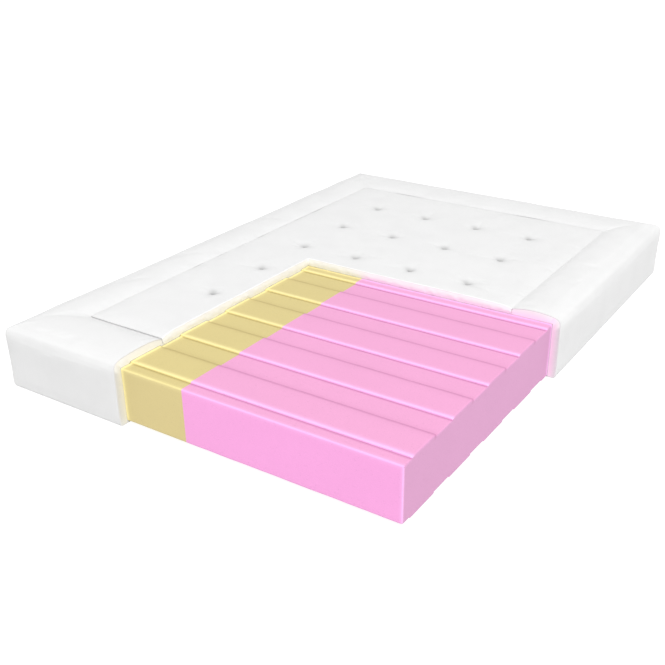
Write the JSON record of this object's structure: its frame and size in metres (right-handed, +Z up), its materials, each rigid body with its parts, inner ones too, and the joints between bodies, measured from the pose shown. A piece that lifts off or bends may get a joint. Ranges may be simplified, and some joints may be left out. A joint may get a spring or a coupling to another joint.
{
  "type": "foam mattress",
  "caption": "Double foam mattress: profiled two-tone core in a padded, tufted white cover, cut away over one corner, with a zip across the far end.",
  "frame": {"origin": "centre of the underside, on the surface that the mattress lies on", "axes": "+X across the width, towards the side whose cover is cut away; +Y along the length, towards the end with the zip; +Z up"},
  "size_m": [1.4, 2, 0.212],
  "materials": {
    "cover_knit": "soft white stretch knit",
    "wadding": "lofty polyester wadding",
    "lining": "thin white backing cloth",
    "underside_knit": "plain white knit",
    "foam_firm": "yellow open-cell foam, matte",
    "foam_soft": "pink open-cell foam, matte",
    "thread": "grey-white thread",
    "felt": "white felt",
    "zip_tape": "white woven tape",
    "zip_coil": "white nylon",
    "zip_metal": "nickel plated"
  },
  "bodies": {
    "mattress": {"bottom_panel": "underside_knit", "foam_core_firm": "foam_firm", "foam_core_soft": "foam_soft", "knit_back_lower": "cover_knit", "knit_back_upper": "cover_knit", "knit_front": "cover_knit", "knit_left": "cover_knit", "knit_right": "cover_knit", "knit_top_panel": "cover_knit", "lining_back": "lining", "lining_front": "lining", "lining_left": "lining", "lining_right": "lining", "lining_top": "lining", "tuft_discs": "felt", "tuft_knots": "thread", "tuft_ties": "thread", "wadding_back_lower": "wadding", "wadding_back_upper": "wadding", "wadding_front": "wadding", "wadding_left": "wadding", "wadding_right": "wadding", "wadding_top_panel": "wadding", "zip_coil_lower": "zip_coil", "zip_coil_upper": "zip_coil", "zip_guard": "lining", "zip_stops": "zip_metal", "zip_tape_lower": "zip_tape", "zip_tape_upper": "zip_tape"},
    "slider": {"zip_slider": "zip_metal"},
    "pull": {"zip_pull": "zip_metal"}
  },
  "joints": [
    {"name": "zip_slide", "type": "slide", "parent": "mattress", "child": "slider", "axis": [-1, 0, 0], "range_m": [0, 1.28]},
    {"name": "zip_pull_swing", "type": "hinge", "parent": "slider", "child": "pull", "pos_m": [0.64, 0.9908, 0.05], "axis": [0, 0, -1], "range_deg": [0, 180]}
  ]
}
